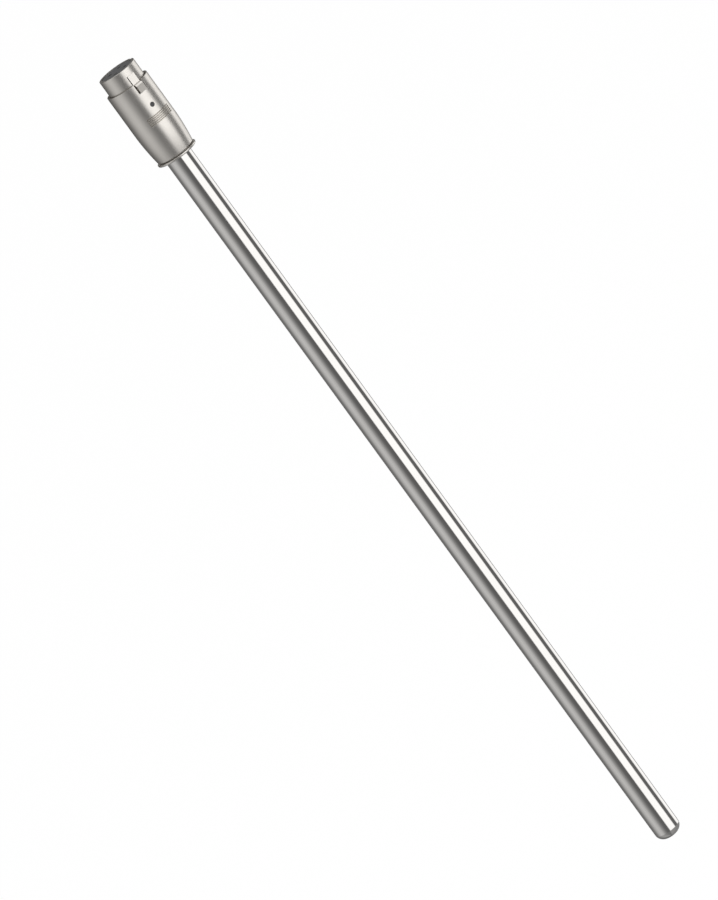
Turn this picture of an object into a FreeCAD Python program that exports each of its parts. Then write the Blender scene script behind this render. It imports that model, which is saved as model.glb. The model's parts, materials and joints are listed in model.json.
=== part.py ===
import FreeCAD, Part
import math
import os
import re
import Sketcher
from FreeCAD import Placement, Rotation, Vector

# A straight resistance thermometer probe: a closed stainless sheath with a push-pull plug on its end.
# Millimetres, +Z along the axis with the plug up. The origin is on the axis at the plug's rear face,
# where the sheath comes out. The index dot and one of the two latch fingers face -Y.

doc = FreeCAD.newDocument("rtd_probe")
sheet = doc.addObject("Spreadsheet::Sheet", "Dimensions")

SIZES = {
    # sheath and what it holds
    "sheath_diameter": 6.35,
    "sheath_wall": 0.7,
    "exposed_length": 195.25,
    "tip_rounding": 1.9,
    "tip_thickness": 1.3,
    "spigot_diameter": 6.0,
    "spigot_length": 8.4,
    "element_diameter": 3.0,
    "element_length": 25.0,
    "element_standoff": 0.6,
    "tube_count": 4,
    "tube_diameter": 4.6,
    "tube_bore": 0.8,
    "tube_gap": 0.1,
    "wire_diameter": 0.45,
    "wire_circle": 2.0,
    "seal_length": 12.0,
    # release sleeve and the ring in its rear end
    "sleeve_diameter": 10.5,
    "sleeve_length": 18.26,
    "sleeve_rear_diameter": 9.28,
    "taper_length": 8.01,
    "front_rounding": 0.1,
    "mouth_chamfer": 0.25,
    "rear_rounding": 0.06,
    "rim_diameter": 9.95,
    "rim_thickness": 0.47,
    "rim_rounding": 0.18,
    "parting_gap": 0.36,
    "parting_diameter": 7.7,
    "ring_spigot": 2.0,
    "ring_clearance": 0.2,
    "release_travel": 1.0,
    "notch_width": 2.45,
    "notch_length": 2.4,
    "dot_diameter": 1.1,
    "dot_setback": 5.86,
    "dot_offset": 0.21,
    "dot_depth": 0.25,
    "dot_fill": 0.16,
    "grip_setback": 8.1,
    "grip_pitch": 0.42,
    "grip_grooves": 5,
    "grip_width": 0.3,
    "grip_depth": 0.2,
    "grip_angle": 74.0,
    # latch shell, whose front end is the nose of the plug
    "nose_diameter": 9.15,
    "nose_reach": 3.93,
    "nose_rounding": 0.06,
    "shell_wall": 0.5,
    "lip_length": 1.1,
    "lip_height": 0.15,
    "finger_width": 1.88,
    "finger_setback": 1.72,
    "finger_length": 6.7,
    "slit_width": 0.13,
    "tab_rise": 0.05,
    "hook_setback": 0.22,
    "hook_rise": 0.98,
    "hook_chamfer": 0.4,
    "cam_rise": 0.27,
    "cam_length": 0.4,
    "cam_lead": 0.4,
    "keyway_width": 1.0,
    "keyway_depth": 0.25,
    "keyway_length": 3.4,
    # back nut, collet and contact insert
    "nut_gap": 0.3,
    "nut_length": 5.2,
    "spanner_slot_width": 1.0,
    "spanner_slot_depth": 0.8,
    "collet_length": 3.0,
    "collet_wall": 0.3,
    "collet_slope": 0.25,
    "collet_slit": 0.4,
    "collet_slit_length": 2.2,
    "carrier_length": 4.5,
    "carrier_wall": 0.8,
    "carrier_split": 0.1,
    "retainer_length": 1.5,
    "face_recess": 0.1,
    "finger_relief": 0.55,
    "contact_circle": 4.0,
    "contact_diameter": 1.3,
    "contact_shoulder_diameter": 1.8,
    "contact_shoulder_length": 1.0,
    "contact_bore": 0.9,
    "contact_bore_depth": 5.0,
    "contact_setback": 0.5,
    "entry_diameter": 1.05,
    "cup_length": 2.5,
    "cup_depth": 1.6,
    "solder_gap": 0.05,
    "wire_exit": 0.3,
    # fits
    "slide_clearance": 0.1,
    "thread_clearance": 0.05,
    "seat_clearance": 0.03,
    "stop_clearance": 0.05,
}

# Every other size and level follows from the sizes above.
WORKED_OUT = {
    "sheath_radius": "sheath_diameter / 2",
    "sheath_bore_radius": "sheath_radius - sheath_wall",
    "spigot_radius": "spigot_diameter / 2",
    "tip_level": "-exposed_length",
    "packing_radius": "sheath_bore_radius - seat_clearance",
    "packing_level": "tip_level + tip_thickness + seat_clearance",
    "element_radius": "element_diameter / 2",
    "element_level": "tip_level + tip_thickness + element_standoff",
    "element_top": "element_level + element_length",
    "seal_level": "spigot_length - seal_length",
    "tube_stack": "seal_level - element_top",
    "tube_length": "tube_stack / tube_count - tube_gap",
    "wire_radius": "wire_diameter / 2",
    "wire_reach": "wire_circle / 2",
    "sleeve_radius": "sleeve_diameter / 2",
    "sleeve_rear_radius": "sleeve_rear_diameter / 2",
    "sleeve_level": "rim_thickness + parting_gap",
    "sleeve_front": "sleeve_level + sleeve_length",
    "taper_drop": "sleeve_radius - sleeve_rear_radius",
    "taper_radius": "(taper_length ^ 2 + taper_drop ^ 2) / (2 * taper_drop)",
    "sleeve_bore_radius": "nose_radius + slide_clearance",
    "sleeve_rear_bore_radius": "nut_radius + slide_clearance",
    "sleeve_step": "shell_level - stop_clearance - sleeve_level",
    "cam_groove_radius": "nose_radius + cam_rise + slide_clearance",
    "cam_groove_start": "cam_level - stop_clearance - sleeve_level",
    "cam_groove_end": "cam_level + cam_length + release_travel + stop_clearance - sleeve_level",
    "notch_start": "sleeve_length - notch_length",
    "dot_radius": "dot_diameter / 2",
    "dot_height": "sleeve_length - dot_setback",
    "dot_floor": "sleeve_radius - dot_depth",
    "grip_height": "sleeve_length - grip_setback",
    "rim_radius": "rim_diameter / 2",
    "ring_bore_radius": "sheath_radius + ring_clearance",
    "ring_top": "sleeve_level + ring_spigot",
    "nose_radius": "nose_diameter / 2",
    "nose_front": "sleeve_front + nose_reach",
    "shell_bore_radius": "nose_radius - shell_wall",
    "shell_level": "nut_level + nut_length / 2",
    "shell_length": "nose_front - shell_level",
    "lip_start": "shell_length - lip_length",
    "finger_root": "shell_length - finger_setback",
    "finger_end": "finger_root - finger_length",
    "hook_front": "sleeve_front - hook_setback - shell_level",
    "hook_rear": "sleeve_front - notch_length + stop_clearance - shell_level",
    "cam_level": "shell_level + finger_end + cam_lead",
    "nut_level": "ring_top + nut_gap",
    "nut_radius": "shell_bore_radius - thread_clearance",
    "collet_level": "spigot_length - collet_length",
    "collet_radius": "spigot_radius + collet_wall",
    "collet_top_radius": "collet_radius + collet_slope",
    "carrier_level": "spigot_length + seat_clearance",
    "insert_radius": "shell_bore_radius - thread_clearance",
    "carrier_bore_radius": "insert_radius - carrier_wall",
    "retainer_level": "carrier_level + carrier_length + seat_clearance",
    "insert_level": "retainer_level + retainer_length + seat_clearance",
    "insert_length": "nose_front - face_recess - insert_level",
    "insert_step": "shell_level + lip_start - seat_clearance - insert_level",
    "insert_face_radius": "shell_bore_radius - lip_height - thread_clearance",
    "contact_reach": "contact_circle / 2",
    "contact_radius": "contact_diameter / 2",
    "contact_shoulder_radius": "contact_shoulder_diameter / 2",
    "contact_level": "retainer_level - cup_length",
    "contact_shoulder": "insert_level - contact_level",
    "contact_length": "insert_level + insert_length - contact_setback - contact_level",
    "cup_radius": "wire_radius + solder_gap",
    "bend_start": "spigot_length + wire_exit - element_top",
    "bend_end": "contact_level - element_top",
    "bend_rise": "bend_end - bend_start",
    "bend_reach": "contact_reach - wire_reach",
    "bend_radius": "(bend_rise ^ 2 + bend_reach ^ 2) / (4 * bend_reach)",
    "wire_length": "bend_end + cup_depth",
}

for row, (alias, size) in enumerate(SIZES.items(), start=1):
    sheet.set(f"A{row}", alias)
    sheet.set(f"B{row}", str(size))
    sheet.setAlias(f"B{row}", alias)
doc.recompute()

WORD = re.compile(r"[a-z][a-z_]+")
FULL_TURN = 360.0
AROUND = 4
QUARTER = FULL_TURN / AROUND
AXIS = Vector(0, 0, 1)
ON_AXIS = 1e-9
CUTTER_MARGIN = "1"
ROUNDING_LIMIT = "0.9"


def bound(text):
    """Rewrites a size expression so that every name in it reads the sheet's own cells."""

    def cell(match):
        word = match.group(0)
        if word in WORKED_OUT:
            return "(" + bound(WORKED_OUT[word]) + ")"
        return "Dimensions." + word if word in SIZES else word

    return WORD.sub(cell, text)


def value(text):
    """The present value of a size expression."""
    return float(sheet.evalExpression(bound(text)))


def origin_plane(body, role):
    """The body's own origin plane with this role, such as XZ_Plane."""
    return next(plane for plane in body.Origin.OriginFeatures if plane.Role == role)


def new_sketch(body, role, name, offset=None):
    """An empty sketch on one of the body's origin planes, moved along the plane's normal by an offset."""
    sketch = body.newObject("Sketcher::SketchObject", name)
    sketch.AttachmentSupport = [(origin_plane(body, role), "")]
    sketch.MapMode = "FlatFace"
    if offset:
        sketch.setExpression("AttachmentOffset.Base.z", bound(offset))
    return sketch


def tie(sketch, kind, axis_line, geometry, point, text):
    """Ties one coordinate of a sketch point to a size expression."""
    size = value(text)
    if abs(size) < ON_AXIS:
        sketch.addConstraint(Sketcher.Constraint("PointOnObject", geometry, point, axis_line))
        return
    index = sketch.addConstraint(Sketcher.Constraint(kind, -1, 1, geometry, point, size))
    sketch.setExpression(f"Constraints[{index}]", bound(text))


def tie_across(sketch, geometry, point, text):
    """Ties a point's distance across the sketch, from its vertical axis."""
    tie(sketch, "DistanceX", -2, geometry, point, text)


def tie_along(sketch, geometry, point, text):
    """Ties a point's height in the sketch, above its horizontal axis."""
    tie(sketch, "DistanceY", -1, geometry, point, text)


def arc_between(start, end, centre):
    """The shorter arc between two points and whether it was drawn from its end back to its start."""
    start_angle = math.atan2(start.y - centre.y, start.x - centre.x)
    end_angle = math.atan2(end.y - centre.y, end.x - centre.x)
    circle = Part.Circle(centre, AXIS, start.distanceToPoint(centre))
    swapped = (end_angle - start_angle) % (2 * math.pi) > math.pi
    if swapped:
        start_angle, end_angle = end_angle, start_angle
    return Part.ArcOfCircle(circle, start_angle, end_angle), swapped


def draw_path(sketch, corners, arcs=None, closed=True):
    """Draws lines and arcs through corners given as pairs of size expressions.

    arcs gives the centre of each side that is an arc, by the number of its first corner.
    """
    arcs = arcs or {}
    points = [Vector(value(across), value(along), 0) for across, along in corners]
    side_count = len(points) if closed else len(points) - 1
    ends = []
    for side in range(side_count):
        start = points[side]
        end = points[(side + 1) % len(points)]
        swapped = False
        curve = None
        if side in arcs:
            centre = Vector(value(arcs[side][0]), value(arcs[side][1]), 0)
            curve, swapped = arc_between(start, end, centre)
        geometry = sketch.addGeometry(curve or Part.LineSegment(start, end))
        ends.append((geometry, 2, 1) if swapped else (geometry, 1, 2))
    for side, (geometry, first, last) in enumerate(ends):
        if closed or side + 1 < side_count:
            following, following_first, _ = ends[(side + 1) % side_count]
            sketch.addConstraint(
                Sketcher.Constraint("Coincident", geometry, last, following, following_first)
            )
        tie_across(sketch, geometry, first, corners[side][0])
        tie_along(sketch, geometry, first, corners[side][1])
        if side in arcs:
            tie_along(sketch, geometry, 3, arcs[side][1])
    if not closed:
        geometry, _, last = ends[-1]
        tie_across(sketch, geometry, last, corners[-1][0])
        tie_along(sketch, geometry, last, corners[-1][1])


def box(left, right, low, high):
    """The four corners of an upright rectangle."""
    return [(left, low), (right, low), (right, high), (left, high)]


def draw_circle(sketch, across, along, radius):
    """Draws a circle whose centre and radius follow size expressions."""
    centre = Vector(value(across), value(along), 0)
    geometry = sketch.addGeometry(Part.Circle(centre, AXIS, value(radius)))
    tie_across(sketch, geometry, 3, across)
    tie_along(sketch, geometry, 3, along)
    index = sketch.addConstraint(Sketcher.Constraint("Radius", geometry, value(radius)))
    sketch.setExpression(f"Constraints[{index}]", bound(radius))


def draw_circle_ring(sketch, reach, radius):
    """Draws four equal circles around the centre, each on a diagonal."""
    diagonal = f"{reach} * sqrt(2) / 2"
    for across in (f"{diagonal}", f"-{diagonal}"):
        for along in (f"{diagonal}", f"-{diagonal}"):
            draw_circle(sketch, across, along, radius)


def new_body(label, level="0", turn=0.0):
    """An empty body at a height on the axis, turned about it."""
    body = doc.addObject("PartDesign::Body", label)
    body.Label = label
    body.Placement = Placement(Vector(0, 0, 0), Rotation(AXIS, turn))
    body.setExpression("Placement.Base.z", bound(level))
    return body


def turned(label, corners, level="0", arcs=None, turn=0.0):
    """A turned body: the half section drawn by its corners, spun about the axis."""
    body = new_body(label, level, turn)
    sketch = new_sketch(body, "XZ_Plane", label + "_section")
    draw_path(sketch, corners, arcs)
    spin = body.newObject("PartDesign::Revolution", label + "_turning")
    spin.Profile = sketch
    spin.ReferenceAxis = (sketch, ["V_Axis"])
    spin.Angle = FULL_TURN
    doc.recompute()
    return body


def round_edges(body, name, edges, radius):
    """Rounds the circular edges found at these pairs of radius and height."""
    base = body.Tip
    chosen = []
    for edge_radius, height in edges:
        for number, edge in enumerate(base.Shape.Edges, start=1):
            same_circle = (
                isinstance(edge.Curve, Part.Circle)
                and math.isclose(edge.Curve.Radius, value(edge_radius), abs_tol=1e-6)
                and math.isclose(edge.Curve.Center.z, value(height), abs_tol=1e-6)
            )
            if same_circle:
                chosen.append(f"Edge{number}")
    fillet = body.newObject("PartDesign::Fillet", name)
    fillet.Base = (base, chosen)
    fillet.setExpression("Radius", bound(radius))
    doc.recompute()


def cut_through(body, role, name, outlines):
    """Cuts outlines right through the body, both ways from an origin plane."""
    sketch = new_sketch(body, role, name + "_outline")
    for corners in outlines:
        draw_path(sketch, corners)
    pocket = body.newObject("PartDesign::Pocket", name)
    pocket.Profile = sketch
    pocket.Type = "ThroughAll"
    pocket.SideType = "Symmetric"
    doc.recompute()


def bore_holes(body, name, reach, radius, start, depth):
    """Bores a ring of four holes upwards from a height in the body."""
    sketch = new_sketch(body, "XY_Plane", name + "_circles", start)
    draw_circle_ring(sketch, reach, radius)
    pocket = body.newObject("PartDesign::Pocket", name)
    pocket.Profile = sketch
    pocket.Reversed = True
    pocket.setExpression("Length", bound(depth))
    doc.recompute()


def swept_band(body, name, kind, corners, angle):
    """Adds or cuts a section swept part way round the axis, centred on -Y."""
    sketch = new_sketch(body, "YZ_Plane", name + "_section")
    draw_path(sketch, corners)
    band = body.newObject(kind, name)
    band.Profile = sketch
    band.ReferenceAxis = (sketch, ["V_Axis"])
    band.Midplane = True
    band.setExpression("Angle", bound(angle))
    doc.recompute()
    return band


def mirror_to_back(body, name, features):
    """Repeats features on the far side of the axis."""
    mirror = body.newObject("PartDesign::Mirrored", name)
    mirror.Originals = features
    mirror.MirrorPlane = (origin_plane(body, "XZ_Plane"), [""])
    body.Tip = mirror
    doc.recompute()


def sheath():
    """The closed tube: a rounded tip below and a thinner spigot above, which goes into the plug."""
    top = "exposed_length + spigot_length"
    body = turned(
        "sheath",
        [
            ("0", "0"),
            ("sheath_radius", "0"),
            ("sheath_radius", "exposed_length"),
            ("spigot_radius", "exposed_length"),
            ("spigot_radius", top),
            ("sheath_bore_radius", top),
            ("sheath_bore_radius", "tip_thickness"),
            ("0", "tip_thickness"),
        ],
        "tip_level",
    )
    round_edges(body, "tip_outside", [("sheath_radius", "0")], "tip_rounding")
    round_edges(
        body, "tip_inside", [("sheath_bore_radius", "tip_thickness")], "tip_rounding - sheath_wall"
    )
    return body


def tip_packing():
    """The packed powder that beds the sensing element in the tip."""
    body = turned(
        "tip_packing",
        [
            ("0", "0"),
            ("packing_radius", "0"),
            ("packing_radius", "element_top - packing_level"),
            ("element_radius + seat_clearance", "element_top - packing_level"),
            ("element_radius + seat_clearance", "element_level - packing_level - seat_clearance"),
            ("0", "element_level - packing_level - seat_clearance"),
        ],
        "packing_level",
    )
    round_edges(body, "packing_end", [("packing_radius", "0")], "tip_rounding - sheath_wall")
    return body


def sensing_element():
    """The ceramic rod with the resistance winding inside it."""
    corners = box("0", "element_radius", "0", "element_length")
    return turned("sensing_element", corners, "element_level")


def insulator_tube(number):
    """One of the four-bore ceramic tubes that keep the lead wires apart."""
    level = f"element_top + tube_gap / 2 + {number - 1} * (tube_length + tube_gap)"
    corners = box("0", "tube_diameter / 2", "0", "tube_length")
    body = turned(f"ceramic_insulator_{number}", corners, level)
    bore_holes(body, f"bores_{number}", "wire_reach", "tube_bore / 2", "0", "tube_length")
    return body


def lead_wire(number):
    """A lead wire from the element, up one bore of the tubes and out to its contact."""
    body = new_body(f"lead_wire_{number}", "element_top", QUARTER * (number - 0.5))
    path = new_sketch(body, "XZ_Plane", f"wire_path_{number}")
    draw_path(
        path,
        [
            ("wire_reach", "0"),
            ("wire_reach", "bend_start"),
            ("wire_reach + bend_reach / 2", "bend_start + bend_rise / 2"),
            ("contact_reach", "bend_end"),
            ("contact_reach", "wire_length"),
        ],
        {
            1: ("wire_reach + bend_radius", "bend_start"),
            2: ("contact_reach - bend_radius", "bend_end"),
        },
        closed=False,
    )
    section = new_sketch(body, "XY_Plane", f"wire_section_{number}")
    draw_circle(section, "wire_reach", "0", "wire_radius")
    wire = body.newObject("PartDesign::AdditivePipe", f"wire_{number}")
    wire.Profile = section
    wire.Spine = (path, [f"Edge{side}" for side in range(1, 5)])
    doc.recompute()
    return body


def potting_seal():
    """The resin that seals the sheath's open end round the four wires."""
    corners = box("0", "packing_radius", "0", "seal_length")
    body = turned("potting_seal", corners, "seal_level")
    hole_radius = "wire_radius + seat_clearance"
    bore_holes(body, "wire_holes", "wire_reach", hole_radius, "0", "seal_length")
    return body


def back_nut():
    """The threaded nut in the rear of the shell, with a cone that closes the collet on the spigot."""
    cone_start = "collet_level - nut_level - seat_clearance"
    body = turned(
        "back_nut",
        [
            ("spigot_radius + thread_clearance", "0"),
            ("nut_radius", "0"),
            ("nut_radius", "nut_length"),
            ("collet_top_radius + seat_clearance", "nut_length"),
            ("collet_radius + seat_clearance", cone_start),
            ("spigot_radius + thread_clearance", cone_start),
        ],
        "nut_level",
    )
    half_slot = "spanner_slot_width / 2"
    slot = box("-" + half_slot, half_slot, "-" + CUTTER_MARGIN, "spanner_slot_depth")
    cut_through(body, "YZ_Plane", "spanner_slots", [slot])
    return body


def clamp_collet():
    """The slit cone that grips the sheath's spigot."""
    body = turned(
        "clamp_collet",
        [
            ("spigot_radius + seat_clearance / 2", "0"),
            ("collet_radius", "0"),
            ("collet_top_radius", "collet_length"),
            ("spigot_radius + seat_clearance / 2", "collet_length"),
        ],
        "collet_level",
    )
    slit = box("-collet_slit / 2", "collet_slit / 2", "-" + CUTTER_MARGIN, "collet_slit_length")
    for role in ("XZ_Plane", "YZ_Plane"):
        cut_through(body, role, "collet_slits_" + role[:2], [slit])
    return body


def finger_slit():
    """The narrow slit along both sides of a latch finger and round its free end, which points back."""
    inner = "finger_width / 2"
    outer = "finger_width / 2 + slit_width"
    end = "finger_end - slit_width"
    return [
        (inner, "finger_root"),
        (outer, "finger_root"),
        (outer, end),
        ("-(" + outer + ")", end),
        ("-(" + outer + ")", "finger_root"),
        ("-" + inner, "finger_root"),
        ("-" + inner, "finger_end"),
        (inner, "finger_end"),
    ]


def latch_shell():
    """The plug's nose and inner shell in one piece, with two springy latch fingers slit out of its wall."""
    body = turned(
        "latch_shell",
        [
            ("shell_bore_radius", "0"),
            ("nose_radius", "0"),
            ("nose_radius", "shell_length"),
            ("shell_bore_radius - lip_height", "shell_length"),
            ("shell_bore_radius - lip_height", "lip_start"),
            ("shell_bore_radius", "lip_start"),
        ],
        "shell_level",
    )
    round_edges(body, "nose_edge", [("nose_radius", "shell_length")], "nose_rounding")
    wall_middle = "nose_radius - shell_wall / 2"
    inside = f"-({wall_middle})"
    # Tabs, hooks and cams start wider than a finger, and the slits trim them flush with its sides.
    covered_width = "finger_width + slit_width"
    cover = f"2 * asin(({covered_width}) / 2 / (nose_radius + cam_rise))"
    cam_start = "cam_level - shell_level"
    cam_corners = [
        (inside, cam_start),
        ("-(nose_radius + cam_rise)", cam_start),
        ("-(nose_radius + cam_rise)", cam_start + " + cam_length / 2"),
        (inside, cam_start + " + cam_length"),
    ]
    cam = swept_band(body, "cam", "PartDesign::Revolution", cam_corners, cover)
    mirror_to_back(body, "second_cam", [cam])
    latch = new_sketch(body, "YZ_Plane", "latch_section")
    tab_face = "nose_radius + tab_rise"
    hook_top = "nose_radius + hook_rise"
    for side in ("-", ""):
        outline = [
            (f"{side}({wall_middle})", "hook_rear"),
            (f"{side}({hook_top})", "hook_rear"),
            (f"{side}({hook_top})", "hook_front - hook_chamfer"),
            (f"{side}({hook_top} - hook_chamfer)", "hook_front"),
            (f"{side}({tab_face})", "hook_front"),
            (f"{side}({tab_face})", "finger_root"),
            (f"{side}({wall_middle})", "finger_root"),
        ]
        draw_path(latch, outline)
    latches = body.newObject("PartDesign::Pad", "tabs_and_hooks")
    latches.Profile = latch
    latches.SideType = "Symmetric"
    latches.setExpression("Length", bound(covered_width))
    doc.recompute()
    cut_through(body, "XZ_Plane", "finger_slits", [finger_slit()])
    keyway = new_sketch(body, "XY_Plane", "keyway_outline", "shell_length")
    half_key = "keyway_width / 2"
    key_corners = box("nose_radius - keyway_depth", "nose_radius + keyway_depth", "-" + half_key, half_key)
    draw_path(keyway, key_corners)
    slot = body.newObject("PartDesign::Pocket", "keyway")
    slot.Profile = keyway
    slot.setExpression("Length", bound("keyway_length"))
    doc.recompute()
    return body


def insert_carrier(name, kept, removed):
    """One of the two half shells that push the contact insert forward when the nut is tightened.

    kept and removed are the signs of x on the side that stays and on the side that is cut away.
    """
    section = box("carrier_bore_radius", "insert_radius", "0", "carrier_length")
    body = turned(name, section, "carrier_level")
    near = f"{kept}carrier_split / 2"
    far = f"{removed}(insert_radius + {CUTTER_MARGIN})"
    low, high = "-" + CUTTER_MARGIN, "carrier_length + " + CUTTER_MARGIN
    cut_through(body, "XZ_Plane", name + "_split", [box(near, far, low, high)])
    return body


def contact_retainer():
    """The rear disc of the insert, which keeps the contacts' shoulders in their pockets."""
    body = turned("contact_retainer", box("0", "insert_radius", "0", "retainer_length"), "retainer_level")
    hole_radius = "contact_radius + seat_clearance"
    bore_holes(body, "retainer_holes", "contact_reach", hole_radius, "0", "retainer_length")
    return body


def contact_insert():
    """The dark insulating insert whose front face fills the nose, with an entry hole for each contact."""
    body = turned(
        "contact_insert",
        [
            ("0", "0"),
            ("insert_radius", "0"),
            ("insert_radius", "insert_step"),
            ("insert_face_radius", "insert_step"),
            ("insert_face_radius", "insert_length"),
            ("0", "insert_length"),
        ],
        "insert_level",
    )
    flat = "insert_radius - finger_relief"
    flats = new_sketch(body, "XY_Plane", "relief_outline")
    for side in ("-", ""):
        near, far = f"{side}({flat})", f"{side}(insert_radius + {CUTTER_MARGIN})"
        draw_path(flats, box("-insert_radius", "insert_radius", near, far))
    relief = body.newObject("PartDesign::Pocket", "finger_reliefs")
    relief.Profile = flats
    relief.Reversed = True
    relief.setExpression("Length", bound("insert_step"))
    doc.recompute()
    bore_holes(body, "entry_holes", "contact_reach", "entry_diameter / 2", "0", "insert_length")
    barrel = "contact_radius + seat_clearance"
    barrel_depth = "insert_length - contact_setback + seat_clearance"
    bore_holes(body, "barrel_holes", "contact_reach", barrel, "0", barrel_depth)
    pocket = "contact_shoulder_radius + seat_clearance"
    pocket_depth = "contact_shoulder_length + seat_clearance"
    bore_holes(body, "shoulder_pockets", "contact_reach", pocket, "0", pocket_depth)
    return body


def socket_contact(number):
    """A socket contact: a bore for the mating pin in front and a solder cup for the wire behind."""
    shoulder_end = "contact_shoulder + contact_shoulder_length"
    body = turned(
        f"socket_contact_{number}",
        [
            ("0", "cup_depth"),
            ("cup_radius", "cup_depth"),
            ("cup_radius", "0"),
            ("contact_radius", "0"),
            ("contact_radius", "contact_shoulder"),
            ("contact_shoulder_radius", "contact_shoulder"),
            ("contact_shoulder_radius", shoulder_end),
            ("contact_radius", shoulder_end),
            ("contact_radius", "contact_length"),
            ("contact_bore / 2", "contact_length"),
            ("contact_bore / 2", "contact_length - contact_bore_depth"),
            ("0", "contact_length - contact_bore_depth"),
        ],
        "contact_level",
    )
    angle = math.radians(QUARTER * (number - 0.5))
    for axis, share in (("x", math.cos(angle)), ("y", math.sin(angle))):
        body.setExpression(f"Placement.Base.{axis}", bound(f"contact_reach * ({share:.12f})"))
    return body


def release_sleeve():
    """The outer sleeve that is pulled back to unlatch: notches, index hole, grip grooves and a rear taper."""
    body = turned(
        "release_sleeve",
        [
            ("sleeve_rear_bore_radius", "0"),
            ("sleeve_rear_radius", "0"),
            ("sleeve_radius", "taper_length"),
            ("sleeve_radius", "sleeve_length"),
            ("sleeve_bore_radius + mouth_chamfer", "sleeve_length"),
            ("sleeve_bore_radius", "sleeve_length - mouth_chamfer"),
            ("sleeve_bore_radius", "cam_groove_end"),
            ("cam_groove_radius", "cam_groove_end"),
            ("cam_groove_radius", "cam_groove_start"),
            ("sleeve_bore_radius", "cam_groove_start"),
            ("sleeve_bore_radius", "sleeve_step"),
            ("sleeve_rear_bore_radius", "sleeve_step"),
        ],
        "sleeve_level",
        {1: ("sleeve_radius - taper_radius", "taper_length")},
    )
    round_edges(body, "front_edge", [("sleeve_radius", "sleeve_length")], "front_rounding")
    round_edges(body, "rear_edge", [("sleeve_rear_radius", "0")], "rear_rounding")
    grooves = []
    for number in range(int(value("grip_grooves"))):
        height = f"grip_height - {number} * grip_pitch"
        corners = [
            ("-(sleeve_radius - grip_depth)", height),
            ("-(sleeve_radius + grip_depth)", f"{height} + grip_width"),
            ("-(sleeve_radius + grip_depth)", f"{height} - grip_width"),
        ]
        name = f"grip_groove_{number + 1}"
        grooves.append(swept_band(body, name, "PartDesign::Groove", corners, "grip_angle"))
    mirror_to_back(body, "second_grip", grooves)
    half_notch = "notch_width / 2"
    high = "sleeve_length + " + CUTTER_MARGIN
    cut_through(body, "XZ_Plane", "notches", [box("-" + half_notch, half_notch, "notch_start", high)])
    index = new_sketch(body, "XZ_Plane", "index_circle", "dot_floor")
    draw_circle(index, "-dot_offset", "dot_height", "dot_radius")
    hole = body.newObject("PartDesign::Pocket", "index_hole")
    hole.Profile = index
    hole.Reversed = True
    hole.setExpression("Length", bound("dot_depth + " + CUTTER_MARGIN))
    doc.recompute()
    return body


def index_dot():
    """The dark fill in the index hole."""
    body = new_body("index_dot", "sleeve_level")
    disc = new_sketch(body, "XZ_Plane", "dot_circle", "dot_floor")
    draw_circle(disc, "-dot_offset", "dot_height", "dot_radius - seat_clearance")
    fill = body.newObject("PartDesign::Pad", "dot_filling")
    fill.Profile = disc
    fill.setExpression("Length", bound("dot_fill"))
    doc.recompute()
    return body


def rear_ring():
    """The rimmed ring in the sleeve's rear end, with a narrow groove ahead of its rim."""
    body = turned(
        "rear_ring",
        [
            ("ring_bore_radius", "0"),
            ("rim_radius", "0"),
            ("rim_radius", "rim_thickness"),
            ("parting_diameter / 2", "rim_thickness"),
            ("parting_diameter / 2", "sleeve_level"),
            ("sleeve_rear_bore_radius - seat_clearance", "sleeve_level"),
            ("sleeve_rear_bore_radius - seat_clearance", "ring_top"),
            ("ring_bore_radius", "ring_top"),
        ],
    )
    rim_edges = [("rim_radius", "0"), ("rim_radius", "rim_thickness")]
    rim_room = "min(rim_thickness / 2; rim_radius - parting_diameter / 2)"
    round_edges(body, "rim_edges", rim_edges, f"min(rim_rounding; {ROUNDING_LIMIT} * {rim_room})")
    return body


pieces = [
    sheath(),
    tip_packing(),
    sensing_element(),
    potting_seal(),
    back_nut(),
    clamp_collet(),
    latch_shell(),
    insert_carrier("insert_carrier_left", "-", ""),
    insert_carrier("insert_carrier_right", "", "-"),
    contact_retainer(),
    contact_insert(),
    release_sleeve(),
    rear_ring(),
    index_dot(),
]
for repeat in range(1, int(value("tube_count")) + 1):
    pieces.append(insulator_tube(repeat))
for repeat in range(1, AROUND + 1):
    pieces += [lead_wire(repeat), socket_contact(repeat)]

doc.recompute()
for item in doc.Objects:
    if "Invalid" in item.State or "Error" in item.State:
        raise RuntimeError(f"{item.Label} failed: {item.State}")
for piece in pieces:
    shape = piece.Shape
    if shape.isNull() or not shape.isValid() or len(shape.Solids) != 1:
        raise RuntimeError(f"{piece.Label} is not one sound solid")

os.makedirs("parts", exist_ok=True)
for piece in pieces:
    piece.Shape.exportStep(f"parts/{piece.Label}.step")
    print(f"{piece.Label}: {piece.Shape.Volume:.3f} mm3")
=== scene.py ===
"""Looks of the rtd probe: fine meshes for the pieces that show, finishes, studio light and camera.

Sizes of the pieces are in millimetres, as on a workshop drawing, and become metres when a mesh is made.
The frame is the solids' own: +Z along the axis with the plug up, origin at the plug's rear face.
"""

import json
import logging
import math
from collections.abc import Callable, Iterable
from dataclasses import dataclass, field
from enum import Enum

import bmesh
import bpy
from mathutils import Matrix, Vector


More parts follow.
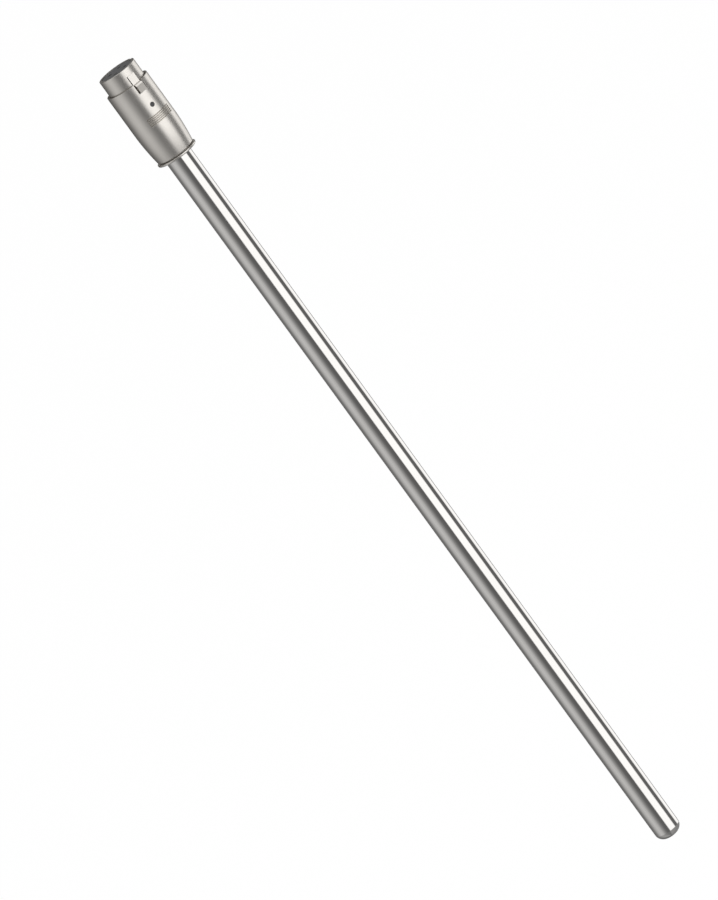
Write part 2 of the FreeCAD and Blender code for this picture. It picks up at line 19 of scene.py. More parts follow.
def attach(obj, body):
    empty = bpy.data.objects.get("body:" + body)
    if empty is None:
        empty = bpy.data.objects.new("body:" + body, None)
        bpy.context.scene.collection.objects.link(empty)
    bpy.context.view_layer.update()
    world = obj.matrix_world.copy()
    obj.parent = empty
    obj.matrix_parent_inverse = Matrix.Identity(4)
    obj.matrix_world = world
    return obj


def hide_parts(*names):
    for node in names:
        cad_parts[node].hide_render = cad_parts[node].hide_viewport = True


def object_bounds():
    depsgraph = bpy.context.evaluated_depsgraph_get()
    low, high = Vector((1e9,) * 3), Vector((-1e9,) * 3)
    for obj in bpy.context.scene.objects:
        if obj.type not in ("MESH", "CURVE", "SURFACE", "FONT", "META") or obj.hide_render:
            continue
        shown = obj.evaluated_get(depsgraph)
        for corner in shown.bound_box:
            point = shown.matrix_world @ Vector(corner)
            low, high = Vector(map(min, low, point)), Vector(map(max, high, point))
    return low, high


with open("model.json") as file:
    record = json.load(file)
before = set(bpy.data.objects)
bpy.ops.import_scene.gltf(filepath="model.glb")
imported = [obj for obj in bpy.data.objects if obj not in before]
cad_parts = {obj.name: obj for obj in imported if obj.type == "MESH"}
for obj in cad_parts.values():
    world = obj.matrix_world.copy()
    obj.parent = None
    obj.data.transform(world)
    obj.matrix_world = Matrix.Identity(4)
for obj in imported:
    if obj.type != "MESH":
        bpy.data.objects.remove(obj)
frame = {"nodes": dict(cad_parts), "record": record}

CAD_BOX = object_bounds()
LOG = logging.getLogger("rtd_probe")
MM = 0.001
FULL_TURN = 2 * math.pi
WELD = 0.0005 * MM
SMOOTH_ANGLE = math.radians(32)
NOISE_RANGE = (0.3, 0.7)
CLOUD_DETAIL = 2.0
GRAIN_DETAIL = 3.0
WHITE = (1.0, 1.0, 1.0, 1.0)

Colour = tuple[float, float, float]
Point = tuple[float, float, float]
Pair = tuple[float, float]
Tree = bpy.types.NodeTree
Node = bpy.types.Node
Socket = bpy.types.NodeSocket
Source = Socket | float | Iterable[float]
Piece = bpy.types.Object

FINE_GRAIN: Point = (0.0001, 0.0001, 0.0001)


class Body(str, Enum):
    """The bodies that pieces ride on."""

    PROBE = "probe"
    SLEEVE = "release_sleeve"


class Operation(str, Enum):
    """What a tool solid does to a piece."""

    CUT = "DIFFERENCE"
    ADD = "UNION"


class Axis(Enum):
    """The line that a section is spun about."""

    PROBE = Vector((0, 0, 1))
    INDEX = Vector((0, -1, 0))


class Measure(Enum):
    """The distance that marks off a patch of a finish, by the share of each coordinate in it."""

    FROM_AXIS = (1.0, 1.0, 0.0)
    FROM_KEYWAY_PLANE = (0.0, 1.0, 0.0)


def feed(tree: Tree, node: Node, inputs: dict[str | int, Source]) -> None:
    """Feeds a node with plain values and with other nodes' results.

    Args:
        tree: The nodes.
        node: The node to feed.
        inputs: What goes into each input, by the input's name or number.
    """
    for name, source in inputs.items():
        if isinstance(source, Socket):
            tree.links.new(source, node.inputs[name])
        else:
            node.inputs[name].default_value = source


def add_node(tree: Tree, kind: str, inputs: dict[str | int, Source], **settings: str) -> Node:
    """Adds a node.

    Args:
        tree: The nodes to add it to.
        kind: The node's type.
        inputs: What goes into each input, by the input's name or number.
        settings: The node's own settings, by name.

    Returns:
        The node.
    """
    node = tree.nodes.new(kind)
    for name, setting in settings.items():
        setattr(node, name, setting)
    feed(tree, node, inputs)
    return node


def calculated(tree: Tree, operation: str, first: Source, second: Source) -> Socket:
    """The result of a calculation with two numbers."""
    return add_node(tree, "ShaderNodeMath", {0: first, 1: second}, operation=operation).outputs["Value"]


def mixed(tree: Tree, share: Source, first: Source, second: Source) -> Socket:
    """A mix of two numbers, the first alone at a share of 0 and the second alone at 1."""
    return add_node(tree, "ShaderNodeMix", {"Factor": share, "A": first, "B": second}).outputs["Result"]


def ranged(tree: Tree, value: Source, old: Pair, new: Pair = (0.0, 1.0), **settings: str) -> Socket:
    """A number moved from one range to another.

    Args:
        tree: The nodes.
        value: The number.
        old: The range that it is taken from.
        new: The range that it is brought to.
        settings: Settings of the node that does it.

    Returns:
        The socket with the result.
    """
    ends = zip(("From Min", "From Max", "To Min", "To Max"), (*old, *new))
    return add_node(tree, "ShaderNodeMapRange", {"Value": value, **dict(ends)}, **settings).outputs["Result"]


@dataclass(frozen=True)
class Finish:
    """A procedural finish on the piece's own coordinates.

    Attributes:
        name: Name of the material.
        colour: Mean colour, linear.
        metallic: 1 for bare metal.
        roughness: Mean roughness.
        specular: Specular level of a surface that isn't metal.
        edge_tint: Share of a metal's shine that is left where it is seen from the side.
        cloud: Size in metres of slow changes of tone.
        grain: Size in metres of the fine grain along x, y and z.
        tone_spread: Share by which the tone changes either way.
        gloss_spread: Amount by which the roughness changes either way.
        relief: Strength of the grain's bump.
        relief_depth: Depth in metres of the grain's bump.
    """

    name: str
    colour: Colour
    metallic: float = 0.0
    roughness: float = 0.5
    specular: float = 0.5
    edge_tint: float = 1.0
    cloud: float = 0.006
    grain: Point = (0.0002, 0.0002, 0.0002)
    tone_spread: float = 0.06
    gloss_spread: float = 0.05
    relief: float = 0.1
    relief_depth: float = 0.00001

    def material(self) -> bpy.types.Material:
        """Makes the material, or finds it if it is there already.

        Returns:
            The material, with its nodes linked.
        """
        made = bpy.data.materials.get(self.name)
        if made:
            return made
        made = bpy.data.materials.new(self.name)
        made.use_nodes = True
        tree = made.node_tree
        cloud = self._noise(tree, (self.cloud,) * 3, CLOUD_DETAIL)
        grain = self._noise(tree, self.grain, GRAIN_DETAIL)
        bump = {"Height": grain, "Strength": self.relief, "Distance": self.relief_depth}
        surface = {
            "Base Color": self._tone(tree, cloud, grain),
            "Roughness": self._gloss(tree, grain),
            "Normal": add_node(tree, "ShaderNodeBump", bump).outputs["Normal"],
            "Metallic": self.metallic,
            "Specular IOR Level": self.specular,
            "Specular Tint": (*(self.edge_tint,) * 3, 1.0),
        }
        feed(tree, tree.nodes["Principled BSDF"], surface)
        return made

    def _noise(self, tree: Tree, size: Point, detail: float) -> Socket:
        """Adds a noise whose features have a given size along each axis.

        Args:
            tree: The material's nodes.
            size: Size of a feature in metres along x, y and z.
            detail: Number of finer layers.

        Returns:
            The socket with the noise.
        """
        place = add_node(tree, "ShaderNodeTexCoord", {})
        scaled = {"Vector": place.outputs["Object"], "Scale": [1 / length for length in size]}
        mapping = add_node(tree, "ShaderNodeMapping", scaled)
        layers = {"Vector": mapping.outputs["Vector"], "Scale": 1.0, "Detail": detail}
        return add_node(tree, "ShaderNodeTexNoise", layers).outputs["Fac"]

    def _tone(self, tree: Tree, cloud: Socket, grain: Socket) -> Socket:
        """Lets the colour wander slowly and along the grain.

        Args:
            tree: The material's nodes.
            cloud: The slow noise.
            grain: The fine noise.

        Returns:
            The socket with the colour.
        """
        ramp = add_node(tree, "ShaderNodeValToRGB", {"Fac": mixed(tree, 0.5, cloud, grain)})
        for stop, place, sign in zip(ramp.color_ramp.elements, NOISE_RANGE, (-1, 1)):
            stop.position = place
            stop.color = [part * (1 + sign * self.tone_spread) for part in self.colour] + [1.0]
        return ramp.outputs["Color"]

    def _gloss(self, tree: Tree, grain: Socket) -> Socket:
        """Lets the roughness follow the grain."""
        new = (self.roughness - self.gloss_spread, self.roughness + self.gloss_spread)
        return ranged(tree, grain, NOISE_RANGE, new)


@dataclass(frozen=True)
class PatchedFinish(Finish):
    """A finish that is darker and duller on one side of a distance.

    Attributes:
        measure: The distance that is measured.
        edge: Distance in metres at which the patch starts.
        beyond: True if the patch is farther out than the edge, False if it is nearer in.
        patch_tone: Share of the colour that is kept in the patch.
        patch_roughness: Roughness of the patch.
        blur: Width in metres of the change at the edge.
    """

    measure: Measure = Measure.FROM_AXIS
    edge: float = 0.005
    beyond: bool = True
    patch_tone: float = 0.8
    patch_roughness: float = 0.7
    blur: float = 0.00002

    def _tone(self, tree: Tree, cloud: Socket, grain: Socket) -> Socket:
        """Darkens the colour in the patch.

        Args:
            tree: The material's nodes.
            cloud: The slow noise.
            grain: The fine noise.

        Returns:
            The socket with the colour.
        """
        kept = mixed(tree, self._share(tree), 1.0, self.patch_tone)
        scaled = {0: super()._tone(tree, cloud, grain), "Scale": kept}
        return add_node(tree, "ShaderNodeVectorMath", scaled, operation="SCALE").outputs["Vector"]

    def _gloss(self, tree: Tree, grain: Socket) -> Socket:
        """Dulls the patch."""
        return mixed(tree, self._share(tree), super()._gloss(tree, grain), self.patch_roughness)

    def _share(self, tree: Tree) -> Socket:
        """Adds the share of the patch, 1 in it and 0 out of it.

        Args:
            tree: The material's nodes.

        Returns:
            The socket with the share.
        """
        place = add_node(tree, "ShaderNodeTexCoord", {})
        weights = {0: place.outputs["Object"], 1: self.measure.value}
        weighed = add_node(tree, "ShaderNodeVectorMath", weights, operation="MULTIPLY")
        distance = {0: weighed.outputs["Vector"]}
        length = add_node(tree, "ShaderNodeVectorMath", distance, operation="LENGTH")
        change = (self.edge - self.blur / 2, self.edge + self.blur / 2)
        return ranged(tree, length.outputs["Value"], change, (0.0, 1.0) if self.beyond else (1.0, 0.0))


DRAWN_STAINLESS = Finish(
    name="drawn_stainless_finish",
    colour=(0.73, 0.715, 0.695),
    metallic=1.0,
    roughness=0.1,
    cloud=0.012,
    grain=(0.00022, 0.00022, 0.012),
    tone_spread=0.03,
    gloss_spread=0.03,
    relief=0.06,
    relief_depth=0.000004,
)
SATIN_PLATE = Finish(
    name="satin_plate_finish",
    colour=(0.775, 0.744, 0.7),
    metallic=1.0,
    roughness=0.33,
    edge_tint=0.5,
    cloud=0.004,
    grain=FINE_GRAIN,
    tone_spread=0.03,
    gloss_spread=0.04,
    relief=0.08,
    relief_depth=0.000006,
)
LATCH_PLATE = PatchedFinish(
    **{**vars(SATIN_PLATE), "name": "latch_plate_finish"},
    measure=Measure.FROM_KEYWAY_PLANE,
    edge=0.00553,
    patch_tone=0.82,
    patch_roughness=0.6,
)
# Satin plate on the rear ring. Its darker, duller patch nearer the axis than the edge is painted shade on
# the rim's top face in the gap under the sleeve.
RING_PLATE_AND_GAP_SHADE = PatchedFinish(
    **{**vars(SATIN_PLATE), "name": "ring_plate_and_painted_gap_shade"},
    edge=0.00478,
    beyond=False,
    patch_tone=0.85,
    patch_roughness=0.6,
)
# Painted shade: a dark, dull colour on the sleeve's front end face and mouth chamfer, for the shade in the
# gap between sleeve and nose.
MOUTH_PAINTED_SHADE = Finish(
    name="mouth_painted_shade_material",
    colour=(0.32, 0.305, 0.28),
    metallic=1.0,
    roughness=0.5,
    cloud=0.002,
    grain=FINE_GRAIN,
    tone_spread=0.12,
)
NUT_METAL = Finish(
    name="nut_metal_finish",
    colour=(0.62, 0.56, 0.42),
    metallic=1.0,
    roughness=0.35,
    grain=(0.0003, 0.0003, 0.00008),
)
INSERT_PLASTIC = Finish(
    name="insert_plastic_finish",
    colour=(0.075, 0.075, 0.076),
    roughness=0.6,
    specular=0.25,
    grain=(0.00012, 0.00012, 0.00012),
    tone_spread=0.1,
)
INDEX_FILL = Finish(
    name="index_fill_finish",
    colour=(0.045, 0.045, 0.047),
    roughness=0.4,
    cloud=0.0006,
    grain=FINE_GRAIN,
    tone_spread=0.2,
)
CONTACT_GOLD = Finish(name="contact_gold_finish", colour=(0.8, 0.56, 0.2), metallic=1.0, roughness=0.25)
LEAD_METAL = Finish(
    name="lead_metal_finish",
    colour=(0.66, 0.62, 0.56),
    metallic=1.0,
    roughness=0.35,
    grain=(0.0001, 0.0001, 0.002),
)
TUBE_CERAMIC = Finish(
    name="tube_ceramic_finish",
    colour=(0.82, 0.79, 0.72),
    roughness=0.55,
    tone_spread=0.05,
)
ELEMENT_CERAMIC = Finish(
    name="element_ceramic_finish",
    colour=(0.86, 0.85, 0.82),
    roughness=0.4,
    tone_spread=0.04,
)
MAGNESIA_PACKING = Finish(
    name="magnesia_packing_finish",
    colour=(0.8, 0.78, 0.74),
    roughness=0.9,
    tone_spread=0.12,
    relief=0.5,
    relief_depth=0.00005,
)
SEALING_RESIN = Finish(
    name="sealing_resin_finish",
    colour=(0.05, 0.045, 0.04),
    roughness=0.3,
    tone_spread=0.15,
)

SLOT_FINISHES: dict[str, Finish] = {
    "stainless_sheath": DRAWN_STAINLESS,
    "satin_plate": SATIN_PLATE,
    "nut_metal": NUT_METAL,
    "insert_plastic": INSERT_PLASTIC,
    "index_fill": INDEX_FILL,
    "contact_gold": CONTACT_GOLD,
    "lead_metal": LEAD_METAL,
    "tube_ceramic": TUBE_CERAMIC,
    "element_ceramic": ELEMENT_CERAMIC,
    "magnesia_packing": MAGNESIA_PACKING,
    "sealing_resin": SEALING_RESIN,
}


@dataclass
class Section:
    """The half section of a turned piece, drawn from corner to corner in millimetres.

    Attributes:
        corners: Pairs of radius and height.
    """

    corners: list[Pair] = field(default_factory=list)

    def line(self, radius: float, height: float, row: float = 0.0) -> None:
        """Draws a straight line to a corner, or starts there.

        Args:
            radius: The corner's radius.
            height: The corner's height.
            row: Longest row along the line, or 0 for a single row.
        """
        start_radius, start_height = self.corners[-1] if self.corners else (radius, height)
        length = math.hypot(radius - start_radius, height - start_height)
        rows = max(1, math.ceil(length / row)) if row else 1
        for number in range(1, rows + 1):
            share = number / rows
            along = start_radius + share * (radius - start_radius)
            self.corners.append((along, start_height + share * (height - start_height)))

    def lines(self, *corners: Pair) -> None:
        """Draws straight lines from corner to corner."""
        for radius, height in corners:
            self.line(radius, height)

    def arc(self, radius: float, height: float, centre: Pair, rows: int) -> None:
        """Draws the shorter arc to a corner.

        Args:
            radius: The corner's radius.
            height: The corner's height.
            centre: Radius and height of the arc's centre.
            rows: Number of rows along the arc.
        """
        start_radius, start_height = self.corners[-1]
        start = math.atan2(start_height - centre[1], start_radius - centre[0])
        end = math.atan2(height - centre[1], radius - centre[0])
        turn = (end - start + math.pi) % FULL_TURN - math.pi
        reach = math.hypot(start_radius - centre[0], start_height - centre[1])
        for number in range(1, rows + 1):
            angle = start + turn * number / rows
            self.corners.append(
                (centre[0] + reach * math.cos(angle), centre[1] + reach * math.sin(angle))
            )

    def close(self) -> None:
        """Draws the line back to the first corner."""
        self.line(*self.corners[0])


def deselect() -> None:
    """Leaves edit mode and deselects every object."""
    if bpy.context.mode != "OBJECT":
        bpy.ops.object.mode_set(mode="OBJECT")
    bpy.ops.object.select_all(action="DESELECT")


def hold(piece: Piece) -> None:
    """Makes a piece the only one selected, and active.

    Args:
        piece: The piece to work on.
    """
    deselect()
    piece.select_set(True)
    bpy.context.view_layer.objects.active = piece


def weld() -> None:
    """Merges doubles of the mesh in edit mode and turns its faces outwards."""
    bpy.ops.mesh.select_all(action="SELECT")
    bpy.ops.mesh.remove_doubles(threshold=WELD)
    bpy.ops.mesh.select_all(action="SELECT")
    bpy.ops.mesh.normals_make_consistent(inside=False)


def spun(
    name: str,
    section: Section,
    steps: int,
    axis: Axis = Axis.PROBE,
    centre: Point = (0.0, 0.0, 0.0),
    span: float = FULL_TURN,
    facing: float = 0.0,
) -> Piece:
    """Turns a piece: a vertex is extruded along the half section, which is spun about an axis.

    Args:
        name: Name of the piece.
        section: The half section.
        steps: Number of steps of the spin.
        axis: The axis to spin about.
        centre: A point on that axis, in millimetres.
        span: Angle of the spin.
        facing: Angle about +Z of the middle of a part turn.

    Returns:
        The new object.
    """
    deselect()
    along = axis.value
    middle = Vector(centre) * MM
    first = facing + span / 2 if span < FULL_TURN else 0.0
    outwards = Vector((math.cos(first), math.sin(first), 0.0)) if axis is Axis.PROBE else Vector((1, 0, 0))
    points = [middle + (outwards * radius + along * height) * MM for radius, height in section.corners]
    bpy.ops.mesh.primitive_plane_add(size=MM)
    piece = bpy.context.object
    piece.name = name
    piece.data.name = name
    bpy.ops.object.mode_set(mode="EDIT")
    bpy.ops.mesh.select_all(action="SELECT")
    bpy.ops.mesh.merge(type="CENTER")
    bpy.ops.transform.translate(value=points[0])
    for start, end in zip(points, points[1:]):
        bpy.ops.mesh.extrude_vertices_move(TRANSFORM_OT_translate={"value": end - start})
    bpy.ops.mesh.select_all(action="SELECT")
    bpy.ops.mesh.remove_doubles(threshold=WELD)
    if span < FULL_TURN:
        bpy.ops.mesh.select_all(action="SELECT")
        bpy.ops.mesh.edge_face_add()
    bpy.ops.mesh.select_all(action="SELECT")
    bpy.ops.mesh.spin(steps=steps, angle=span, center=middle, axis=along, use_auto_merge=False)
    weld()
    bpy.ops.mesh.select_all(action="DESELECT")
    bpy.ops.mesh.select_non_manifold(extend=False)
    bpy.ops.mesh.fill_holes(sides=0)
    weld()
    bpy.ops.object.mode_set(mode="OBJECT")
    return piece


def block(name: str, low: Point, high: Point) -> Piece:
    """A plain block between two corners, as a start for a tool.

    Args:
        name: Name of the object.
        low: Lowest corner in millimetres.
        high: Highest corner in millimetres.

    Returns:
        The new object, with its size and place in its mesh.
    """
    deselect()
    bpy.ops.mesh.primitive_cube_add(size=1.0, location=(Vector(low) + Vector(high)) / 2 * MM)
    piece = bpy.context.object
    piece.name = name
    piece.scale = (Vector(high) - Vector(low)) * MM
    bpy.ops.object.transform_apply(location=True, rotation=True, scale=True)
    return piece


def bevel_edges(piece: Piece, chosen: Callable[[Vector, Vector], bool], width: float, segments: int) -> None:
    """Bevels the edges of a piece that a test picks by their two ends.

    Args:
        piece: The piece to bevel.
        chosen: The test of an edge, given its ends in millimetres.
        width: Width of the bevel in millimetres.
        segments: Number of faces across the bevel.
    """
    hold(piece)
    bpy.ops.object.mode_set(mode="EDIT")
    bpy.ops.mesh.select_mode(type="EDGE")
    bpy.ops.mesh.select_all(action="DESELECT")
    mesh = bmesh.from_edit_mesh(piece.data)
    for edge in mesh.edges:
        ends = [corner.co / MM for corner in edge.verts]
        if chosen(*ends):
            edge.select_set(True)
    bmesh.update_edit_mesh(piece.data)
    bpy.ops.mesh.bevel(offset=width * MM, segments=segments, affect="EDGES")
    bpy.ops.mesh.select_mode(type="VERT")
    bpy.ops.object.mode_set(mode="OBJECT")


def copied(piece: Piece, turn: float) -> Piece:
    """A copy of a piece with its own mesh, turned about the probe's axis.

    Args:
        piece: The piece to copy.
        turn: Angle of the turn.

    Returns:
        The copy.
    """
    hold(piece)
    bpy.ops.object.duplicate(linked=False)
    copy = bpy.context.object
    copy.data.transform(Matrix.Rotation(turn, 4, "Z"))
    return copy


def both_sides(piece: Piece) -> list[Piece]:
    """A piece and its copy on the far side of the axis."""
    return [piece, copied(piece, math.pi)]


def combine(piece: Piece, tools: Iterable[Piece], operation: Operation) -> None:
    """Cuts or adds tool solids that lie clear of each other, and clears them away.

    Args:
        piece: The piece to change.
        tools: The tool solids.
        operation: Whether they cut or add.
    """
    deselect()
    chosen = list(tools)
    for tool in chosen:
        tool.select_set(True)
    bpy.context.view_layer.objects.active = chosen[0]
    if len(chosen) > 1:
        bpy.ops.object.join()
    tool = bpy.context.view_layer.objects.active
    hold(piece)
    bpy.ops.object.modifier_add(type="BOOLEAN")
    change = piece.modifiers[-1]
    change.operation = operation.value
    change.solver = "EXACT"
    change.object = tool
    bpy.ops.object.modifier_apply(modifier=change.name)
    bpy.data.objects.remove(tool)


def dress(piece: Piece, finish: Finish, node: str, body: Body) -> None:
    """Smooths a finished piece, gives it its finish and puts it in its node's place.

    Args:
        piece: The finished piece.
        finish: Its finish.
        node: The solid that it stands for.
        body: The body that it rides on.
    """
    hold(piece)
    bpy.ops.object.shade_smooth_by_angle(angle=SMOOTH_ANGLE)
    piece.data.materials.clear()
    piece.data.materials.append(finish.material())
    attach(piece, body.value)
    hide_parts(node)
    LOG.info("%s: %d faces", piece.name, len(piece.data.polygons))
    deselect()


@dataclass
class Sheath:
    """The closed stainless tube with its rounded tip."""

    radius: float = 3.175
    bore: float = 2.475
    length: float = 195.25
    tip_rounding: float = 1.9
    tip_thickness: float = 1.3
    spigot_radius: float = 3.0
    spigot_length: float = 8.4
    steps: int = 240
    row: float = 6.0
    tip_rows: int = 24
    inner_tip_rows: int = 8
    finish: Finish = DRAWN_STAINLESS

    def build(self) -> Piece:
        """Turns the tube from its tip up the outside and back down the bore.

        Returns:
            The piece.
        """
        tip = -self.length
        inner_rounding = self.tip_rounding - (self.radius - self.bore)
        floor = tip + self.tip_thickness
        section = Section()
        section.lines((0.0, tip), (self.radius - self.tip_rounding, tip))
        outer = (self.radius - self.tip_rounding, tip + self.tip_rounding)
        section.arc(self.radius, tip + self.tip_rounding, outer, self.tip_rows)
        section.line(self.radius, 0.0, self.row)
        section.lines(
            (self.spigot_radius, 0.0),
            (self.spigot_radius, self.spigot_length),
            (self.bore, self.spigot_length),
            (self.bore, floor + inner_rounding),
        )
        inner = (self.bore - inner_rounding, floor + inner_rounding)
        section.arc(self.bore - inner_rounding, floor, inner, self.inner_tip_rows)
        section.line(0.0, floor)
        return spun("sheath_tube", section, self.steps)

    def make(self) -> None:
        """Builds and dresses the tube."""
        dress(self.build(), self.finish, "sheath", Body.PROBE)


@dataclass
class ReleaseSleeve:
    """The sliding outer sleeve, with its notches, index hole and grip grooves."""

    radius: float = 5.25
    rear_radius: float = 4.64
    rear: float = 0.83
    front: float = 19.09
    taper_length: float = 8.01
    front_rounding: float = 0.02
    mouth_chamfer: float = 0.25
    rear_rounding: float = 0.06
    bore: float = 4.675
    rear_bore: float = 4.125
    bore_step: float = 5.68
    groove_bore: float = 4.945
    groove_start: float = 14.95
    groove_end: float = 16.45
    notch_half_width: float = 1.225
    notch_length: float = 2.4
    index_radius: float = 0.55
    index_level: float = 13.23
    index_side: float = -0.21
    index_depth: float = 0.25
    index_chamfer: float = 0.06
    index_chamfer_depth: float = 0.05
    grip_level: float = 10.99
    grip_pitch: float = 0.42
    grip_count: int = 5
    grip_width: float = 0.3
    grip_depth: float = 0.2
    grip_span: float = math.radians(74)
    steps: int = 240
    row: float = 0.4
    rear_rows: int = 5
    taper_rows: int = 22
    front_rows: int = 6
    tool_steps: int = 48
    margin: float = 1.0
    finish: Finish = SATIN_PLATE
    painted_mouth_shade: Finish = MOUTH_PAINTED_SHADE

    def build(self) -> Piece:
        """Turns the sleeve, then cuts its notches, index hole and grip grooves.

        Returns:
            The piece.
        """
        drop = self.radius - self.rear_radius
        taper_radius = (self.taper_length**2 + drop**2) / (2 * drop)
        taper_end = self.rear + self.taper_length
        taper_centre = (self.radius - taper_radius, taper_end)
        slope = math.asin((self.taper_length - self.rear_rounding) / taper_radius)
        edge_radius = taper_centre[0] + taper_radius * math.cos(slope)
        section = Section()
        section.lines((self.rear_bore, self.rear), (edge_radius - self.rear_rounding, self.rear))
        rear_centre = (edge_radius - self.rear_rounding, self.rear + self.rear_rounding)
        section.arc(edge_radius, self.rear + self.rear_rounding, rear_centre, self.rear_rows)
        section.arc(self.radius, taper_end, taper_centre, self.taper_rows)
        section.line(self.radius, self.front - self.front_rounding, self.row)
        front_centre = (self.radius - self.front_rounding, self.front - self.front_rounding)
        section.arc(self.radius - self.front_rounding, self.front, front_centre, self.front_rows)
        section.lines(
            (self.bore + self.mouth_chamfer, self.front),
            (self.bore, self.front - self.mouth_chamfer),
            (self.bore, self.groove_end),
            (self.groove_bore, self.groove_end),
            (self.groove_bore, self.groove_start),
            (self.bore, self.groove_start),
            (self.bore, self.bore_step),
            (self.rear_bore, self.bore_step),
        )
        section.close()
        piece = spun("release_sleeve_shell", section, self.steps)
        combine(piece, [self._notch_tool()], Operation.CUT)
        combine(piece, [self._index_tool()], Operation.CUT)
        combine(piece, self._grip_tools(), Operation.CUT)
        return piece

    def _notch_tool(self) -> Piece:
        """A block right across the sleeve's front edge, which cuts both notches."""
        reach = self.radius + self.margin
        low = (-self.notch_half_width, -reach, self.front - self.notch_length)
        high = (self.notch_half_width, reach, self.front + self.margin)
        return block("notch_tool", low, high)

    def _index_tool(self) -> Piece:
        """The plug that cuts the index hole, with a fine chamfer at its mouth.

        Returns:
            The tool.
        """
        floor = self.radius - self.index_depth
        mouth = self.index_radius + self.index_chamfer
        chamfer_floor = self.radius - self.index_chamfer_depth
        top = self.radius + self.margin
        section = Section()
        section.lines(
            (0.0, floor),
            (self.index_radius, floor),
            (self.index_radius, chamfer_floor),
            (mouth, chamfer_floor + self.index_chamfer),
            (mouth, top),
            (0.0, top),
        )
        centre = (self.index_side, 0.0, self.index_level)
        return spun("index_tool", section, self.tool_steps, Axis.INDEX, centre)

    def _grip_tools(self) -> list[Piece]:
        """The V-shaped bands that cut the grip grooves on both sides.

        Returns:
            The tools.
        """
        tools = []
        for number in range(self.grip_count):
            level = self.grip_level - number * self.grip_pitch
            section = Section()
            section.lines(
                (self.radius - self.grip_depth, level),
                (self.radius + self.grip_depth, level + self.grip_width),
                (self.radius + self.grip_depth, level - self.grip_width),
            )
            section.close()
            near = spun("grip_tool", section, self.tool_steps, span=self.grip_span, facing=-math.pi / 2)
            tools += both_sides(near)
        return tools

    def make(self) -> None:
        """Builds and dresses the sleeve, with painted shade on its front end face and its mouth chamfer."""
        piece = self.build()
        dress(piece, self.finish, "release_sleeve", Body.SLEEVE)
        # The second slot paints shade on the front end face and the mouth chamfer.
        piece.data.materials.append(self.painted_mouth_shade.material())
        for face in piece.data.polygons:
            face.material_index = int(self._is_mouth(face.center / MM))

    def _is_mouth(self, middle: Vector) -> bool:
        """True for a face of the front end or its chamfer, given its middle in millimetres."""
        depth = self.radius - middle.xy.length
        return middle.z > self.front - self.mouth_chamfer and depth > self.front_rounding / 2


@dataclass
class RearRing:
    """The rimmed ring in the sleeve's rear end."""

    rim_radius: float = 4.975
    rim_thickness: float = 0.47
    rim_top_rounding: float = 0.08
    rim_rear_rounding: float = 0.24
    parting_radius: float = 3.85
    parting_gap: float = 0.36
    spigot_radius: float = 4.095
    spigot_top: float = 2.83
    bore: float = 3.375
    steps: int = 240
    rear_rows: int = 8
    top_rows: int = 6
    finish: Finish = RING_PLATE_AND_GAP_SHADE

    def build(self) -> Piece:
        """Turns the ring.

        Returns:
            The piece.
        """
        rear = (self.rim_radius - self.rim_rear_rounding, self.rim_rear_rounding)
        top = self.rim_thickness
        front = (self.rim_radius - self.rim_top_rounding, top - self.rim_top_rounding)
        section = Section()
        section.lines((self.bore, 0.0), (rear[0], 0.0))
        section.arc(self.rim_radius, rear[1], rear, self.rear_rows)
        section.line(self.rim_radius, front[1])
        section.arc(front[0], top, front, self.top_rows)
        section.lines(
            (self.parting_radius, top),
            (self.parting_radius, top + self.parting_gap),
            (self.spigot_radius, top + self.parting_gap),
            (self.spigot_radius, self.spigot_top),
            (self.bore, self.spigot_top),
        )
        section.close()
        return spun("rear_ring_rim", section, self.steps)

    def make(self) -> None:
        """Builds and dresses the ring, with painted shade in its parting gap."""
        dress(self.build(), self.finish, "rear_ring", Body.SLEEVE)


@dataclass
class IndexDot:
    """The dark fill in the index hole, slightly sunk in the middle."""

    radius: float = 0.52
    level: float = 13.23
    side: float = -0.21
    floor: float = 5.0
    thickness: float = 0.16
    sag: float = 0.03
    sag_shares: tuple[float, ...] = (0.85, 0.65, 0.45, 0.25, 0.0)
    steps: int = 48
    finish: Finish = INDEX_FILL

    def build(self) -> Piece:
        """Turns the fill about the hole's own axis.

        Returns:
            The piece.
        """
        top = self.floor + self.thickness
        section = Section()
        section.lines((0.0, self.floor), (self.radius, self.floor), (self.radius, top))
        for share in self.sag_shares:
            section.line(self.radius * share, top - self.sag * (1 - share**2))
        return spun("index_dot_fill", section, self.steps, Axis.INDEX, (self.side, 0.0, self.level))

    def make(self) -> None:
        """Builds and dresses the fill."""
        dress(self.build(), self.finish, "index_dot", Body.SLEEVE)


